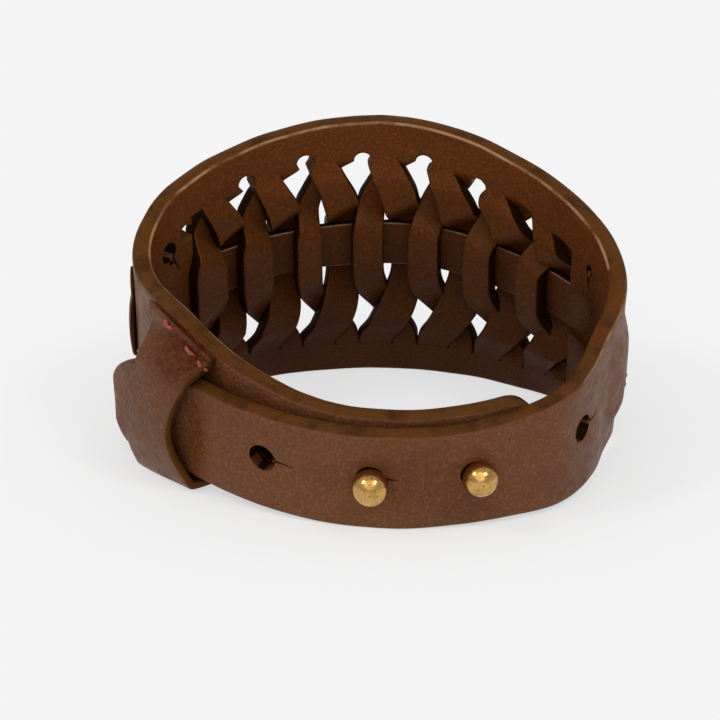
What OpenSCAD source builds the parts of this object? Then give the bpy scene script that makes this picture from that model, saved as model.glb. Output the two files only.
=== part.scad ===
// Braided leather bracelet, millimetres, +Z up, resting as it stands by itself.
// The closing strap and its two ball studs are at the front (-Y), the braided panel at the back (+Y).
// Places on the leather are given as "along", the length along the middle of the inner layer from the
// back centre (right is positive), "out", the distance outwards from that middle, and "up".

/* [Leather] */
// Thickness of the panel, the tab, the strips and the strap
leather_t = 2.8; // [2.2:0.1:3]
// Thickness of the centre band
band_t = 1.3; // [1:0.1:1.8]
// Thickness of the keeper
keeper_t = 1.2; // [1:0.1:1.5]
// Rounding of the burnished edges
edge_round = 0.5; // [0.2:0.1:0.8]

/* [Loop] */
// Mean radius of the middle of the inner layer
loop_r = 31.8; // [30:0.1:35]
// Gap between the inner tab and the outer strap
layer_gap = 1.25; // [0.8:0.05:1.6]

/* [Braid] */
// Number of strip pairs
pairs = 7; // [5:1:7]
// Length of panel that one pair takes
pair_pitch = 9.65; // [9:0.05:10]
// Place of the middle pair along the leather
pair_mid = 1.95; // [-2:0.05:3]
// Width of one strip where it leaves the rail
strip_w = 4.6; // [4:0.1:4.7]
// Width of a strip that lies inside the band, where it crosses the band
front_w = 5.4; // [4.6:0.1:5.8]
// Height of the plain rail above and below the braid
rail_h = 5.9; // [5:0.1:7]
// Height of the centre band
band_h = 7.6; // [6:0.1:8]
// Middle of the centre band above the middle of the panel
band_up = 0.5; // [-1:0.1:1]
// Left end of the centre band along the leather
band_left = -49.5; // [-52:0.5:-46]
// Right end of the centre band along the leather
band_right = 56; // [52:0.5:58]
// Radius of the round holes punched at the ends of the gaps
punch_r = 1.25; // [0.8:0.05:1.5]

/* [Closure] */
// Where the inner tab ends, along the leather to the left
tab_end = 122.5; // [112:0.5:124]
// Where the panel ends and the strap is sewn on, to the right
seam_at = 49.6; // [47:0.1:52]
// Where the outer strap ends
strap_end = 145; // [142:0.5:147]
// Rounding of the corners at both free ends
end_corner = 4.5; // [3:0.1:6]
// Place of the free strap hole on the right, along the leather
right_hole = 71.4; // [70:0.1:75]
// Place of the right stud and its hole along the strap
right_stud = 88.3; // [86:0.1:90]
// Place of the left stud and its hole along the strap
left_stud = 101; // [99:0.1:103]
// Place of the free strap hole on the left
left_hole = 115.2; // [113:0.1:117]
// Radius of the strap holes
hole_r = 2.1; // [1.8:0.05:2.4]
// Length of the slit beside each strap hole
slit_l = 3; // [1.5:0.1:3.5]
// Radius of the ball of a stud
ball_r = 2.3; // [2:0.05:2.6]
// Radius of the neck of a stud
neck_r = 1.2; // [0.9:0.05:1.3]
// Radius of the flat base of a stud inside the tab
base_r = 3.2; // [2.5:0.1:4]

/* [Keeper] */
// Right edge of the keeper along the leather
keeper_right = 125.2; // [124:0.1:127]
// Left edge of the arch that holds the strap
keeper_left = 137.8; // [136:0.1:140]
// Left edge of the flanges that are sewn to the panel
flange_left = 139.8; // [138:0.1:143]
// Room between the arch and the strap at the middle
arch_room = 1.8; // [1.4:0.1:2.5]
// How far the strap's tip hangs below its own middle
tip_drop = 4; // [0:0.1:5]
// How far the strap's tip stands off the panel
tip_lift = 2; // [0:0.1:2.4]

/* [Rest] */
// Forward tilt of the bracelet when it stands by itself
rest_tilt = 13.33; // [8:0.01:16]
// Sideways tilt when it stands by itself
rest_roll = -0.94; // [-3:0.01:3]
// Shift to the right that brings the middle of its box over the origin
rest_x = 1.64; // [-5:0.01:5]
// Shift backwards that brings the middle of its box over the origin
rest_y = 1.38; // [-5:0.01:5]
// Shift upwards that brings its lowest point to the floor
rest_z = 16.14; // [10:0.01:30]

/* [Hidden] */
HIDE = [0.36, 0.21, 0.13];
HIDE_DARK = [0.30, 0.17, 0.10];
BRASS = [0.80, 0.62, 0.30];

// Waves that shape the loop seen from above, as a support function
// order, cosine part, sine part
LOOP_WAVES = [
    [2, 3.0, -1.1],
    [3, -0.45, 0.42],
    [4, 0.47, -0.26]];

// Upper and lower edge of the leather
// along, top, depth below the middle
EDGES = [
    [-123, 7.6, 8.4],
    [-91, 8.0, 8.4],
    [-76, 10.9, 10.6],
    [-65, 14.2, 12.6],
    [-58, 13.6, 13.2],
    [-51, 12.6, 13.6],
    [-45, 14.7, 15.0],
    [-40, 17.9, 17.6],
    [-29, 20.4, 20.6],
    [-14, 22.4, 22.5],
    [0, 23.1, 23.3],
    [12, 21.5, 23.0],
    [25, 18.7, 21.6],
    [37, 16.4, 18.8],
    [47, 14.4, 14.5],
    [54, 12.4, 12.4],
    [62, 10.2, 12.0],
    [72, 8.7, 10.4],
    [87, 7.5, 8.4],
    [150, 7.6, 8.4]];
TOP = [for (row = EDGES) [row[0], row[1]]];
BOTTOM = [for (row = EDGES) [row[0], row[2]]];

WINDOW_LEFT = pair_mid - pairs * pair_pitch / 2;
WINDOW_RIGHT = pair_mid + pairs * pair_pitch / 2;
LOOP_LENGTH = 2 * PI * loop_r;
STRAP_OUT = leather_t + layer_gap;
STRAP_MID_UP = -0.4;
HOLE_UP = 0.2;
LIFT_START = 60;
LIFT_END = 78;
TIP_START = 134;
LEAN = 0.9;
NOTCH_END = WINDOW_RIGHT + 6.4;
CLEAR = 0.08;

function total(list) = list * [for (x = list) 1];
function ease(t) = let (u = min(1, max(0, t))) u * u * (3 - 2 * u);
function mix(a, b, t) = a + (b - a) * t;

// The loop: each direction of the outward normal gives one point, and parallel curves keep their gap
function support(a) = loop_r + total([for (w = LOOP_WAVES) w[1] * cos(w[0] * a) + w[2] * sin(w[0] * a)]);
function slope(a) = total([for (w = LOOP_WAVES) w[0] * (w[2] * cos(w[0] * a) - w[1] * sin(w[0] * a))]);
function swept(a) = loop_r * a * PI / 180 + slope(a)
    + total([for (w = LOOP_WAVES) (w[1] * sin(w[0] * a) - w[2] * cos(w[0] * a)) / w[0]]);
TURNS = [for (a = [340:-2:-190]) [swept(90) - swept(a), a]];
function angle_at(along) = lookup(along, TURNS);
function lean(along, up) = LEAN * ease((along - 38) / 10) * (1 - ease((along - 57) / 10))
    * (0.5 - up / (2 * top_at(along)));
function spot(along, out, up) = let (a = angle_at(along), r = support(a) + out - lean(along, up), d = slope(a))
    [r * cos(a) - d * sin(a), r * sin(a) + d * cos(a), up];

// Edges, averaged over a few millimetres so that they run without corners
function smoothed(along, table) =
    (lookup(along - 4, table) + 2 * lookup(along, table) + lookup(along + 4, table)) / 4;
function top_at(along) = smoothed(along, TOP);
function bottom_at(along) = -smoothed(along, BOTTOM);
function root_at(along, side) = side > 0 ? top_at(along) - rail_h : bottom_at(along) + rail_h;

// A section of leather with rounded edges: thickness centred on out, from low to high
function plate(along, out, t, low, high) =
    let (c = min(edge_round, t / 3, (high - low) / 4), a = out - t / 2, b = out + t / 2)
    [for (p = [[a, low + c], [a + c, low], [b - c, low], [b, low + c],
               [b, high - c], [b - c, high], [a + c, high], [a, high - c]]) spot(along, p[0], p[1])];

// A solid through rings that all have the same number of points
module loft(rings) {
    k = len(rings[0]);
    m = len(rings);
    polyhedron(
        points = [for (ring = rings) each ring],
        faces = concat(
            [[for (i = [0:k - 1]) i]],
            [for (j = [0:m - 2], i = [0:k - 1])
                [j * k + i, (j + 1) * k + i, (j + 1) * k + (i + 1) % k]],
            [for (j = [0:m - 2], i = [0:k - 1])
                [j * k + i, (j + 1) * k + (i + 1) % k, j * k + (i + 1) % k]],
            [[for (i = [k - 1:-1:0]) (m - 1) * k + i]]));
}

// Joins its children into one mesh and keeps their size
module one_mesh() resize([0, 0, 0]) union() children();

// How much a rounded corner takes off an edge at this distance from the end
function corner_cut(d) = d >= end_corner ? 0
    : end_corner - sqrt(max(0, end_corner * end_corner - pow(end_corner - max(d, 0), 2)));

module placed() translate([rest_x, rest_y, rest_z]) rotate([rest_tilt, rest_roll, 0]) children();

// Turns a tool that points along +Z so that it points out of the leather
module facing_out(along, up) translate(spot(along, 0, up)) rotate([0, 90, angle_at(along)]) children();

// Panel with the tab, and the window that the strips fill
module panel() {
    corner = [for (d = [0.1, 0.4, 1, 2, 3.2]) d - tab_end];
    count = floor((seam_at + tab_end - end_corner) / 1.7);
    loft([for (a = concat(corner, [for (i = [count:-1:0]) seam_at - i * 1.7]))
        let (cut = corner_cut(a + tab_end))
        plate(a, 0, leather_t, bottom_at(a) + cut, top_at(a) - cut)]);
}

// A tool that cuts through the leather from one place along it to another
module opening(left, right, low, high, steps) loft([for (i = [0:steps])
    let (a = mix(left, right, i / steps), f = [-2 * leather_t, 2 * leather_t])
    [spot(a, f[0], low[i]), spot(a, f[1], low[i]), spot(a, f[1], high[i]), spot(a, f[0], high[i])]]);

module window() {
    rows = [for (i = [0:40]) mix(WINDOW_LEFT, WINDOW_RIGHT, i / 40)];
    opening(WINDOW_LEFT, WINDOW_RIGHT, [for (a = rows) root_at(a, -1)], [for (a = rows) root_at(a, 1)], 40);
}

// Strips: family 1 lies inside the band and outside at the crossings, family -1 the other way round
STRIP_T = leather_t - 0.3;
BAND_CLEAR = band_h / 2 + 0.5;
MID_OUT = band_t / 2 + STRIP_T / 2 + 0.25;
CROSS_OUT = STRIP_T / 2 + CLEAR;
function strip_mid(family) = family > 0 ? -pair_pitch / 2 : 2.4;
function strip_root(family) = family * pair_pitch / 4;
function strip_along(centre, family, up, root) =
    let (t = min(1, max(0, (abs(up) - 3) / (root - 3))))
    centre + mix(strip_mid(family), strip_root(family), 1 - cos(90 * t));
function strip_out(family, up, root) =
    let (h = abs(up - band_up), cross = 0.72 * root)
    -family * (abs(up) < cross
        ? mix(MID_OUT, -CROSS_OUT, ease((h - BAND_CLEAR) / (cross - BAND_CLEAR)))
        : mix(-CROSS_OUT, -0.1, ease((abs(up) - 0.85 * root) / (0.15 * root))));

module strip(centre, family) {
    high = root_at(centre, 1);
    low = -root_at(centre, -1);
    loft([for (i = [-12:12])
        let (root = i > 0 ? high : low, up = i / 12 * (root + 1.2),
             w = family > 0 ? mix(front_w, strip_w, abs(up) / root) : strip_w,
             along = strip_along(centre, family, up, root), out = strip_out(family, up, root))
        [for (p = [[-1, -1], [1, -1], [1, 1], [-1, 1]])
            spot(along + p[0] * w / 2, out + p[1] * STRIP_T / 2, up)]]);
}

module punched() for (i = [0:pairs], side = [-1, 1])
    let (along = WINDOW_LEFT + i * pair_pitch)
    facing_out(along, side * (abs(root_at(along, side)) + 0.2)) rotate([0, 0, 8])
        cylinder(r = punch_r, h = 4 * leather_t, center = true, $fn = 16);

// Notch at the right end that lets the band out, and the small hole and slit above each band end
module end_slits() {
    low = band_up - band_h / 2 - 0.4;
    high = band_up + band_h / 2 + 0.4;
    opening(WINDOW_RIGHT - 0.3, NOTCH_END, [for (i = [0:4]) low], [for (i = [0:4]) high], 4);
    facing_out(WINDOW_LEFT - 8, 9.7) rotate([0, 0, 33]) {
        cylinder(r = 0.9, h = 4 * leather_t, center = true, $fn = 16);
        translate([2.6, 0, 0]) cube([5.2, 0.5, 4 * leather_t], center = true);
    }
    facing_out(NOTCH_END - 0.9, 8.6) rotate([0, 0, 7]) {
        cylinder(r = 0.8, h = 4 * leather_t, center = true, $fn = 16);
        translate([2.2, 0, 0]) cube([4.4, 0.5, 4 * leather_t], center = true);
    }
}

module stud_holes() for (along = [left_stud, right_stud])
    facing_out(along - LOOP_LENGTH, HOLE_UP)
        cylinder(r = neck_r + CLEAR, h = 3 * leather_t, center = true, $fn = 16);

module braided_cuff() placed() color(HIDE) one_mesh() {
    difference() {
        panel();
        window();
        punched();
        end_slits();
        stud_holes();
    }
    for (i = [0:pairs - 1], family = [-1, 1])
        strip(pair_mid + (i - (pairs - 1) / 2) * pair_pitch, family);
}

// Centre band: flat in the braid, its two ends on the outer face of the panel
BAND_ON_FACE = leather_t / 2 + band_t / 2 + CLEAR;
function band_out(along) = along < 0
    ? BAND_ON_FACE * ease((WINDOW_LEFT + 4.8 - along) / 4.8)
    : BAND_ON_FACE * ease((along - NOTCH_END + 5.2) / 5);

module centre_band() placed() color(HIDE_DARK) {
    steps = round((band_right - band_left) / 1.4);
    loft([for (i = [0:steps])
        let (a = mix(band_left, band_right, i / steps), t = band_t - 0.3 * ease((a - 42) / 6))
        plate(a, band_out(a) - (band_t - t) / 2, t, band_up - band_h / 2, band_up + band_h / 2)]);
}

// Outer strap
function strap_out(along) = STRAP_OUT * ease((along - LIFT_START) / (LIFT_END - LIFT_START))
    + tip_lift * ease((along - TIP_START) / 18);

// How far the strap's outer face turns away from the loop's where it lifts
function strap_turn(along) = atan(strap_out(along + 0.5) - strap_out(along - 0.5));
function strap_drop(along) = tip_drop * ease((along - 124) / 22);

module strap_body() {
    plain = [for (a = [0:2.2:strap_end - end_corner - seam_at - 1]) seam_at + CLEAR + a];
    corner = [for (d = [4.5, 3.2, 2, 1, 0.4, 0.1]) strap_end - d];
    loft([for (a = concat(plain, corner))
        let (cut = corner_cut(strap_end - a))
        let (drop = strap_drop(a))
        plate(a, strap_out(a), leather_t, bottom_at(a) + cut - drop, top_at(a) - cut - drop)]);
}

module outer_strap() placed() color(HIDE) difference() {
    strap_body();
    for (along = [right_hole, right_stud, left_stud, left_hole]) {
        translate(spot(along, strap_out(along), HOLE_UP)) rotate([0, 90, angle_at(along)])
        rotate([-strap_turn(along), 0, 0]) {
            cylinder(r = hole_r, h = 3 * leather_t, center = true, $fn = 48);
            translate([0, hole_r + slit_l / 2 - 0.3, 0])
                cube([0.4, slit_l, 3 * leather_t], center = true);
        }
    }
}

// Keeper: flanges sewn flat on the panel's outer face, and an arch over the strap
FLANGE_OUT = leather_t / 2 + keeper_t / 2 + CLEAR;
ARCH_OUT = STRAP_OUT + leather_t / 2 + keeper_t / 2 + 0.2;
ARCH_HALF = 8.9;
ARCH_PART = 0.66;

// Middle of the keeper's leather, out and up, at row -1 on the lower edge to 1 on the upper edge
function keeper_mid(along, row) =
    let (side = row < 0 ? -1 : 1, panel = along - LOOP_LENGTH,
         edge = side > 0 ? top_at(panel) - 0.2 : bottom_at(panel) + 0.2,
         middle = STRAP_MID_UP - strap_drop(along), r = row / ARCH_PART,
         t = (abs(row) - ARCH_PART) / (1 - ARCH_PART))
    t < 0 ? [ARCH_OUT + arch_room * (1 - r * r), middle + r * ARCH_HALF]
          : [mix(ARCH_OUT, FLANGE_OUT, ease(t * 1.5)), mix(middle + side * ARCH_HALF, edge, t)];
function keeper_near(row) = keeper_right + 3.2 * (1 - ease(abs(row)));
function keeper_far(row) = mix(keeper_left, flange_left, ease((abs(row) - ARCH_PART) * 3));

module keeper() placed() color(HIDE_DARK)
    loft([for (i = [-15:15])
        let (row = i / 15, near = keeper_near(row), far = keeper_far(row))
        [for (p = concat([for (k = [0:5]) [k, -1]], [for (k = [5:-1:0]) [k, 1]]))
            let (along = mix(near, far, p[0] / 5), m = keeper_mid(along, row),
                 d = keeper_mid(along, row + 0.02) - keeper_mid(along, row - 0.02),
                 n = [d[1], -d[0]] / norm(d) * p[1] * keeper_t / 2)
            spot(along, m[0] + n[0], m[1] + n[1])]]);

// Ball studs: base, neck and ball in one turned piece
module ball_stud(along) {
    under = -leather_t / 2 - 0.3;
    ball_up = STRAP_OUT + leather_t / 2 + 1.15;
    placed() facing_out(along, HOLE_UP) color(BRASS) union() {
        translate([0, 0, under - 0.8]) cylinder(r = base_r, h = 0.8, $fn = 64);
        translate([0, 0, under - 0.4]) cylinder(r = neck_r, h = ball_up - under + 0.4, $fn = 48);
        translate([0, 0, ball_up]) sphere(r = ball_r, $fn = 64);
    }
}

module stud_left() ball_stud(left_stud - LOOP_LENGTH);
module stud_right() ball_stud(right_stud - LOOP_LENGTH);

braided_cuff();
centre_band();
outer_strap();
keeper();
stud_left();
stud_right();
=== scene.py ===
"""Braided leather bracelet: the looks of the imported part, laid out as a Blender add-on.

Lengths in this file are millimetres in the upright frame of the leather, unless they say metres, and place()
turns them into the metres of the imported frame. A place on the leather is given by "along" (length along the
middle of the inner layer, right is positive, 0 at the back centre), "out" (distance outwards from that
middle) and "up".
"""
import math

import bpy
import numpy as np
from bpy.props import FloatProperty, FloatVectorProperty, PointerProperty
from mathutils import Matrix, Vector


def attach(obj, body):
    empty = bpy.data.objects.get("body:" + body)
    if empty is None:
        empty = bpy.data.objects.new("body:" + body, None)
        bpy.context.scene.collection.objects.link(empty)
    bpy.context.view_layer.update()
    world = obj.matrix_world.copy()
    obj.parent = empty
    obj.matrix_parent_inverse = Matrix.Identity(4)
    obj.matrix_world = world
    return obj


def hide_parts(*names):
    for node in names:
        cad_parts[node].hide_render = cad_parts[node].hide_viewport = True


bl_info = {
    "name": "Braided leather bracelet",
    "version": (1, 0, 0),
    "blender": (4, 5, 0),
    "location": "3D View > Sidebar > Bracelet",
    "description": "Adds the finished pieces of a braided leather bracelet around its packed solids",
    "category": "Add Mesh",
}

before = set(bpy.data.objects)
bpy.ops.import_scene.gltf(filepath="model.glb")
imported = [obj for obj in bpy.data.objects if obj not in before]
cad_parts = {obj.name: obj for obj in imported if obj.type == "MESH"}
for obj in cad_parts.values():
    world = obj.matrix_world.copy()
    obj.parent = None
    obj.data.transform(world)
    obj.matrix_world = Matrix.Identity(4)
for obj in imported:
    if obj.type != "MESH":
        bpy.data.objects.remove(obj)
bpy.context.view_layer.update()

# Sizes shared with the solids, in millimetres
LEATHER = 2.8
BAND_T = 1.3
KEEPER_T = 1.2
LOOP_R = 31.8
LOOP_LENGTH = 2 * math.pi * LOOP_R
# Order, cosine part and sine part of the waves that shape the loop seen from above
LOOP_WAVES = ((2, 3.0, -1.1), (3, -0.45, 0.42), (4, 0.47, -0.26))
# Along, top edge, depth of the bottom edge
EDGES = np.array([
    [-123, 7.6, 8.4], [-91, 8.0, 8.4], [-76, 10.9, 10.6], [-65, 14.2, 12.6], [-58, 13.6, 13.2],
    [-51, 12.6, 13.6], [-45, 14.7, 15.0], [-40, 17.9, 17.6], [-29, 20.4, 20.6], [-14, 22.4, 22.5],
    [0, 23.1, 23.3], [12, 21.5, 23.0], [25, 18.7, 21.6], [37, 16.4, 18.8], [47, 14.4, 14.5],
    [54, 12.4, 12.4], [62, 10.2, 12.0], [72, 8.7, 10.4], [87, 7.5, 8.4], [150, 7.6, 8.4]])
PAIRS = 7
PITCH = 9.65
PAIR_MID = 1.95
RAIL = 5.9
BAND_H = 7.6
BAND_UP = 0.5
BAND_LEFT = -49.5
BAND_RIGHT = 56
TAB_END = 122.5
SEAM = 49.6
STRAP_END = 145
END_CORNER = 4.5
LIFT_START = 60
LIFT_LENGTH = 18
STRAP_OUT = 4.05
STRAP_MID_UP = -0.4
TIP_START = 134
TIP_LIFT = 2.0
TIP_DROP = 4.0
HOLE_UP = 0.2
HOLE_R = 2.1
STRAP_HOLES = (71.4, 88.3, 101.0, 115.2)
STUD_PLACES = STRAP_HOLES[1:3]
NECK_R = 1.2
KEEPER_RIGHT = 125.2
KEEPER_LEFT = 137.8
FLANGE_LEFT = 139.8
ARCH_ROOM = 1.8
ARCH_HALF = 8.9
ARCH_PART = 0.66
CLEAR = 0.08
WINDOW_LEFT = PAIR_MID - PAIRS * PITCH / 2
WINDOW_RIGHT = PAIR_MID + PAIRS * PITCH / 2
NOTCH_END = WINDOW_RIGHT + 6.4
NOTCH_HALF = BAND_H / 2 + 0.4
BAND_ON_FACE = LEATHER / 2 + BAND_T / 2 + CLEAR
FLANGE_OUT = LEATHER / 2 + KEEPER_T / 2 + CLEAR
ARCH_OUT = STRAP_OUT + LEATHER / 2 + KEEPER_T / 2 + 0.2
REST_TILT = math.radians(13.33)
REST_ROLL = math.radians(-0.94)
REST_SHIFT = np.array([1.64, 1.38, 16.14])

# Sizes of this file alone, fitted to the photograph
PUNCH_R = 1.35
PUNCH_FLARE = 0.15
# Along and up of the round holes at the upper ends of the gaps between the pairs of strips
GAP_HOLES = ((-34.9, 11.0), (-22.8, 15.3), (-12.6, 16.6), (-3.2, 16.1), (6.7, 15.9), (15.9, 13.2))
# Along, up, radius and rounding of the small hole at each end of the panel, then the start, length, width
# and turn in degrees of the slit beside it
END_HOLES = ((WINDOW_LEFT - 7.6, 9.4, 1.55, 0.25, 0.8, 4.2, 0.8, -60),
             (NOTCH_END - 0.9, 8.6, 0.8, 0.2, 0.3, 4.1, 0.6, -97))
# Left and right edge of a strip that passes behind the band, from the middle of its pair, by its share of
# the way from the middle to the root. Reach, above at the left pairs, above at the right ones, and the same
# two below
BEHIND = np.array([
    [0.0, -1.0, 4.7, -1.9, 5.0, -0.9, 4.3, -1.2, 5.0],
    [0.3, -1.1, 4.7, -1.9, 4.8, -1.0, 4.2, -0.3, 5.6],
    [0.6, -2.4, 3.6, -2.6, 4.5, -3.1, 3.7, -2.3, 5.0],
    [0.8, -3.8, 1.7, -3.6, 1.8, -4.7, 2.1, -4.5, 2.4],
    [0.88, -4.2, 1.0, -4.2, 0.6, -5.9, 0.7, -5.4, 1.1],
    [1.0, -4.78, -0.02, -4.78, -1.2, -5.9, -0.6, -5.4, -0.6]])
# How much further left and right the edges of each pair's strip reach above the band, at 0.75 of the way,
# and how much further left they reach close below it
BEHIND_EXTRA = ((0, 0), (0, 0), (0, 0), (0, 0.7), (0, 0.2), (-1.4, 0), (-0.2, 0))
BEHIND_BELOW = (0, 0, 0, 0.5, -0.3, -1.9, -2.0)
# How far the left and right edge of a strip in front of the band are on their way to the root, in the same
# columns
BEFORE = np.array([
    [0.0, 0, 0, 0, 0, 0, 0, 0, 0],
    [0.25, 0, 0, 0.03, 0, 0, 0.02, 0, 0.02],
    [0.45, 0.13, 0.06, 0.18, 0.2, 0.14, 0.14, 0.12, 0.1],
    [0.65, 0.38, 0.22, 0.34, 0.72, 0.48, 0.4, 0.42, 0.4],
    [0.8, 0.56, 0.42, 0.47, 0.94, 0.76, 0.7, 0.75, 0.78],
    [0.88, 0.74, 0.52, 0.7, 0.97, 1, 1, 1, 1],
    [1.0, 1, 1, 1, 1, 1, 1, 1, 1]])
# Middle and width of those strips at the band, from the left pair to the right one
BEFORE_MIDDLES = (-4.55, -4.75, -5.0, -4.5, -4.6, -4.5, -3.7)
BEFORE_WIDTHS = (6.8, 5.8, 4.4, 5.3, 5.4, 5.2, 5.1)
# Thickness of a strip, how far out its middle passes the band and crosses its partner, and the share of the
# way to the root at which it crosses
STRIP_T = 2.45
PASS_OUT = 2.15
CROSS_OUT = 1.33
CROSS_SHARE = 0.72
# The window's left edge stands further left than the solid's, and the band's right end is tucked back under
# a swelling of the strap's end
WINDOW_WIDER = 2.0
BAND_TUCK = 4.6
BAND_CORNER = 0.3
# Middle, reach and height of the two domed lobes of the band's left patch
LOBES = ((8.9, 2.7, 0.36), (1.2, 5.5, 0.9))
LOBE_LIFT = 0.22
TIP_SLANT = 1.6
# Length and width of the slit beside each strap hole, and how far the leather is drawn in round a hole
SLITS = (3.0, 0.5, 1.9, 3.2)
SLIT_WIDTH = 0.42
HOLE_SINK = 0.28
# How far the cutter of a slit in the panel or the strap reaches to each side of the leather's middle
PANEL_REACH = 2.5
STRAP_REACH = 2.6
KEEPER_CORNER = 0.28
# Node, along, radius of the ball, and how far it stands to the right, up and out
STUDS = (("stud_left", STUD_PLACES[1], 2.64, -0.2, -0.25, 6.9),
         ("stud_right", STUD_PLACES[0], 2.53, -0.35, 0.0, 6.75))
# Along and up of the stitches on the keeper's flange, then of those beside the seam, and their length and
# heading
KEEPER_STITCHES = ((133.8, 12.9), (129.1, 10.9), (126.2, 10.0))
KEEPER_STITCH = (2.1, math.radians(-155))
SEAM_STITCHES = ((52.2, -3.4), (52.0, -5.2), (51.0, -8.6))
SEAM_STITCH = (1.6, math.radians(80))

# Slow unevenness of the panel's faces and of the long edges
PANEL_WAVE = 0.1
PANEL_SEED = 3
EDGE_WAVE = 0.07

# Camera of the photograph, in the upright frame: elevation, distance, focal length and centre in pixels
CAMERA_ELEVATION = math.radians(33.464)
CAMERA_DISTANCE = 398.881
FOCAL_PIXELS = 2647.4
PHOTO_PIXELS = 720
CENTRE_X = 381.392
CENTRE_Y = 343.565
# Name, direction that it comes from and width in degrees of each light
LIGHTS = (("key", (-0.08, -0.75, 0.62), 60), ("glint_left", (-0.63, -0.32, 0.71), 15),
          ("glint_right", (0.46, -0.44, 0.77), 15))
# Half the width of the table in metres, and its colour
TABLE_HALF = 3.0
TABLE_COLOUR = (0.34, 0.34, 0.34)

# Shapes on the leather

def ease(t):
    """Smooth step from 0 to 1: three t squared minus two t cubed, held outside 0 to 1."""
    u = np.clip(t, 0.0, 1.0)
    return u * u * (3 - 2 * u)


def mix(a, b, t):
    """Straight blend from a to b."""
    return a + (b - a) * t


def bump(x, middle, width):
    """Bell of height 1: e to the minus square of the distance over the width."""
    return np.exp(-((x - middle) / width) ** 2)


def support(a):
    """Distance from the centre to the tangent line whose outward normal has angle a."""
    return LOOP_R + sum(c * np.cos(n * a) + s * np.sin(n * a) for n, c, s in LOOP_WAVES)


def slope(a):
    """Derivative of support by a."""
    return sum(n * (s * np.cos(n * a) - c * np.sin(n * a)) for n, c, s in LOOP_WAVES)


def swept(a):
    """Length of the curve up to a: the integral of support plus its second derivative."""
    return LOOP_R * a + slope(a) + sum((c * np.sin(n * a) - s * np.cos(n * a)) / n for n, c, s in LOOP_WAVES)


TURN_ANGLES = np.radians(np.arange(345.0, -195.0, -0.5))
TURN_LENGTHS = swept(math.pi / 2) - swept(TURN_ANGLES)


def angle_at(along):
    """Angle of the outward normal at a length along the leather, by the inverse of swept."""
    return np.interp(along, TURN_LENGTHS, TURN_ANGLES)


def smoothed(along, edge):
    """Edge height: the table's value averaged with those 4 mm to each side."""
    at = lambda x: np.interp(x, EDGES[:, 0], EDGES[:, edge])
    return (at(along - 4) + 2 * at(along) + at(along + 4)) / 4


def column(table, x, index, soft=0.07):
    """A column of a table by its first column, its corners rounded by averaging over twice soft."""
    steps = np.linspace(-soft, soft, 7)
    return sum(np.interp(x + d, table[:, 0], table[:, index]) for d in steps) / len(steps)


def top_at(along):
    """Height of the leather's upper edge."""
    return smoothed(along, 1)


def bottom_at(along):
    """Height of the leather's lower edge."""
    return -smoothed(along, 2)


def root_at(along, side):
    """Edge of the window: the leather's edge less the rail. The upper rail is up to 1.3 mm wider towards the
    right, and the lower one narrower by 0.7 mm, and by 1.9 mm at the right."""
    if side > 0:
        return top_at(along) - RAIL - 1.3 * ease((along - 20) / 15)
    return bottom_at(along) + RAIL - 0.7 - 1.2 * ease((along - 5) / 25)


def band_up(along):
    """Middle of the band: it runs lower towards the right."""
    return BAND_UP - 1.7 * ease((along - 2) / 26)


def swelling(along, up):
    """How far the strap's end stands out over the band's end: 1.15 mm times smooth steps along and up."""
    part = ease((along - 45) / 6) * (1 - ease((along - 54) / 9))
    return 1.15 * part * ease((8.6 - up) / 6.5) * ease((up + 9.8) / 4)


def lean(along, up):
    """How far the leather leans inwards at the right end of the panel: up to 0.9 mm at its lower edge, and
    evenly less up to the upper one."""
    part = ease((along - 38) / 10) * (1 - ease((along - 57) / 10))
    return 0.9 * part * (0.5 - up / (2 * top_at(along)))


def spot(along, out, up):
    """Point on the leather: the support distance and "out" along the normal, and the slope across it."""
    along, out, up = np.broadcast_arrays(along, out, up)
    a = angle_at(along)
    r = support(a) + out - lean(along, up)
    d = slope(a)
    return np.stack([r * np.cos(a) - d * np.sin(a), r * np.sin(a) + d * np.cos(a), up], axis=-1)


def turned_about_x(angle):
    """Matrix of a turn about x."""
    c, s = math.cos(angle), math.sin(angle)
    return np.array([[1, 0, 0], [0, c, -s], [0, s, c]])


def turned_about_y(angle):
    """Matrix of a turn about y."""
    c, s = math.cos(angle), math.sin(angle)
    return np.array([[c, 0, s], [0, 1, 0], [-s, 0, c]])


REST_TURN = turned_about_y(REST_ROLL) @ turned_about_x(REST_TILT)


def place(points):
    """Upright millimetres to metres at rest: turned by the rest tilt and roll, then shifted."""
    return (np.asarray(points) @ REST_TURN.T + REST_SHIFT) * 0.001


def strap_out(along):
    """How far the strap lies out: it lifts off over 18 mm, and its tip stands off a little more."""
    return STRAP_OUT * ease((along - LIFT_START) / LIFT_LENGTH) + TIP_LIFT * ease((along - TIP_START) / 18)


def strap_drop(along):
    """How far the strap's tip hangs: a smooth step over 22 mm."""
    return TIP_DROP * ease((along - 124) / 22)


def band_out(along):
    """How far the band lies out: it is flat in the braid and passes to the outer face at both ends."""
    left = BAND_ON_FACE * ease((WINDOW_LEFT + 4.8 - along) / 4.8)
    right = BAND_ON_FACE * ease((along - NOTCH_END + 5.2) / 5)
    return np.where(along < 0, left, right)


def rounding(d, radius):
    """What a quarter circle at an end takes off at distance d from the end."""
    reach = np.clip(radius - d, 0, radius)
    return radius - np.sqrt(np.maximum(0, radius ** 2 - reach ** 2))


def wander(x, y, seed):
    """Slow unevenness between -1 and 1: the mean of four sines of mixed directions and lengths."""
    rng = np.random.default_rng(seed)
    total = 0
    for _ in range(4):
        angle = rng.uniform(0, 2 * math.pi)
        wave = rng.uniform(7, 19)
        shift = rng.uniform(0, 2 * math.pi)
        total = total + np.sin((x * math.cos(angle) + y * math.sin(angle)) * 2 * math.pi / wave + shift)
    return total / 4


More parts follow.
